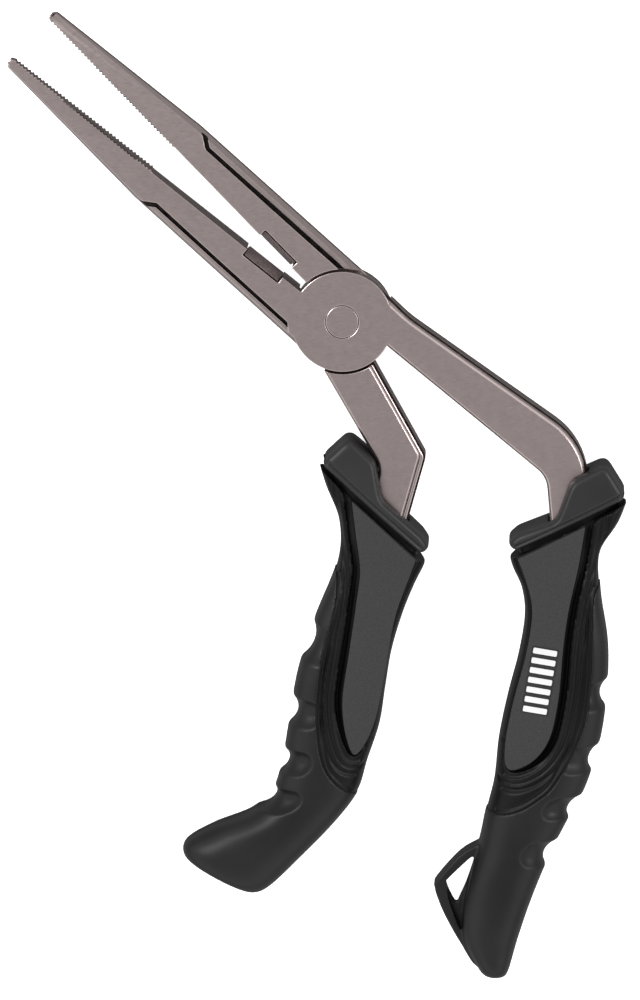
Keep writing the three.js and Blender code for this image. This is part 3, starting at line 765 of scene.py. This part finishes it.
def makeCollar(handle):
    node = handle["name"] + "_collar"
    piece = mergedCopy(node, handle["name"] + "Collar", collarPlasticPaintedSheen)
    remeshed(piece, collarShape["voxel"], collarShape["passes"])
    down, top = jointLine(handle)
    # a line runs along each broad face above the joint, and the faces are slightly domed
    places = [v.co for v in piece.data.vertices]
    middle = (max(c.x for c in places) + min(c.x for c in places)) / 2
    centre = (max(c.y for c in places) + min(c.y for c in places)) / 2
    for place in places:
        above = top - (place.x * down.x + place.y * down.y) / mm
        if abs(place.z - midHeight) > collarShape["lineFrom"] * mm:
            line = collarShape["lineDepth"] * hill(above, collarShape["linePlace"], collarShape["lineWidth"])
            place.z -= math.copysign(line * mm, place.z - midHeight)
        away = min(math.hypot(place.x - middle, place.y - centre) / collarShape["domeReach"], 1.1)
        place.z = midHeight + (place.z - midHeight) * (1 - collarShape["domeFall"] * away * away)
    finishPiece(piece, handle["body"], "hard_plastic", node)


lanyardEye = {
    "thickness": 6.4,
    "rounding": 1.6,
    "outer": [(-17.8, -99), (-22.8, -101.0), (-27.6, -104.1), (-33.5, -110.9), (-33.9, -112.9)]
    + [(-33.0, -116), (-31.2, -120.3), (-27.2, -127.6), (-22.4, -134.2), (-18, -128), (-15, -113)],
    "opening": [(-23.6, -104.8), (-25.2, -105.2), (-30.5, -110.5), (-30.9, -112), (-29, -116.2)]
    + [(-28, -117.2), (-27.4, -115.6), (-25.6, -111.4)],
    "dish": [(-23.6, -104.8), (-25.2, -105.2), (-30.5, -110.5), (-30.9, -112), (-30.2, -116)]
    + [(-28.6, -120.5), (-27, -123.9), (-26.3, -122.6), (-26, -117), (-24.6, -110)],
    "dishFloor": 1.1,
}


def loopOf(points, steps):
    closed = [points[-1], *points, points[0], points[1]]
    count = len(points)
    made = []
    for k in range(steps):
        share = (1 + k / steps * count) / (len(closed) - 1)
        made.append(tuple(spline(closed, share)))
    return made


def makeGrip(handle):
    side = handle["name"]
    name = side + handle["grip"].capitalize() + "Grip"
    piece = handleForm(handle, name, moulding["gripProud"], True, softRubber)
    if side == "right":
        half = lanyardEye["thickness"] / 2
        fin = prism("fin", loopOf(fromBend(handle, lanyardEye["outer"]), 90), -half, half)
        edge = fin.modifiers.new("edge", "BEVEL")
        edge.width = lanyardEye["rounding"] * mm
        edge.segments = 5
        edge.limit_method = "ANGLE"
        edge.angle_limit = math.radians(60)
        bake(fin)
        cutWith(piece, fin, "UNION")
    cutWith(piece, prism("tool", gripRegion(handle, 0), -20, 20), "INTERSECT")
    if side == "right":
        hole = loopOf(fromBend(handle, lanyardEye["opening"]), 60)
        dish = loopOf(fromBend(handle, lanyardEye["dish"]), 60)
        floor = lanyardEye["dishFloor"]
        cutWith(piece, prism("tool", hole, -20, 20), "DIFFERENCE")
        cutWith(piece, prism("tool", dish, floor, 20), "DIFFERENCE")
        cutWith(piece, prism("tool", dish, -20, -floor), "DIFFERENCE")
    remeshed(piece, moulding["voxel"], 4)
    finishPiece(piece, handle["body"], "soft_rubber", f"{side}_{handle['grip']}_grip")


for handle in (leftHandle, rightHandle):
    makeCollar(handle)
    makeBody(handle)
    makeJointCore(handle)
    makePanel(handle, 1)
    makePanel(handle, -1)
    makeGrip(handle)
    print(handle["name"], "handle")

# ---- the plain mark on the right front panel

mark = {
    "first": (52.6, -85.3),
    "last": (50.1, -100.7),
    "bars": 7,
    "width": 6.2,
    "height": 1.5,
    "rim": 0.45,
    "corner": 0.3,
    "thickness": 0.12,
}


def makeMark():
    first, last = Vector(mark["first"]), Vector(mark["last"])
    down = (last - first).normalized()
    across = Vector((-down.y, down.x))
    plates = (("markRim", markBlack, mark["rim"], 0.06), ("markBars", markWhite, 0, mark["thickness"]))
    for name, material, rim, top in plates:
        bm = bmesh.new()
        for i in range(mark["bars"]):
            centre = first.lerp(last, i / (mark["bars"] - 1))
            wide, tall = mark["width"] / 2 + rim, mark["height"] / 2 + rim
            signs = ((-1, -1), (1, -1), (1, 1), (-1, 1))
            corners = [centre + across * x * wide + down * y * tall for x, y in signs]
            low = midHeight + (moulding["panelTop"] - 0.3) * mm
            base = bm.faces.new([bm.verts.new((p.x * mm, p.y * mm, low)) for p in corners])
            raised = bmesh.ops.extrude_face_region(bm, geom=[base])["geom"]
            tops = [g for g in raised if isinstance(g, bmesh.types.BMVert)]
            bmesh.ops.translate(bm, verts=tops, vec=(0, 0, (0.3 + top) * mm))
        bmesh.ops.recalc_face_normals(bm, faces=bm.faces)
        upright = [e for e in bm.edges if abs(e.verts[0].co.z - e.verts[1].co.z) > 0.1 * mm]
        bmesh.ops.bevel(
            bm, geom=upright, offset=mark["corner"] * mm, segments=3, profile=0.5, affect="EDGES", material=-1
        )
        finishPiece(addObject(name, bm, material), "front", "panel_plastic")


makeMark()
print("mark")
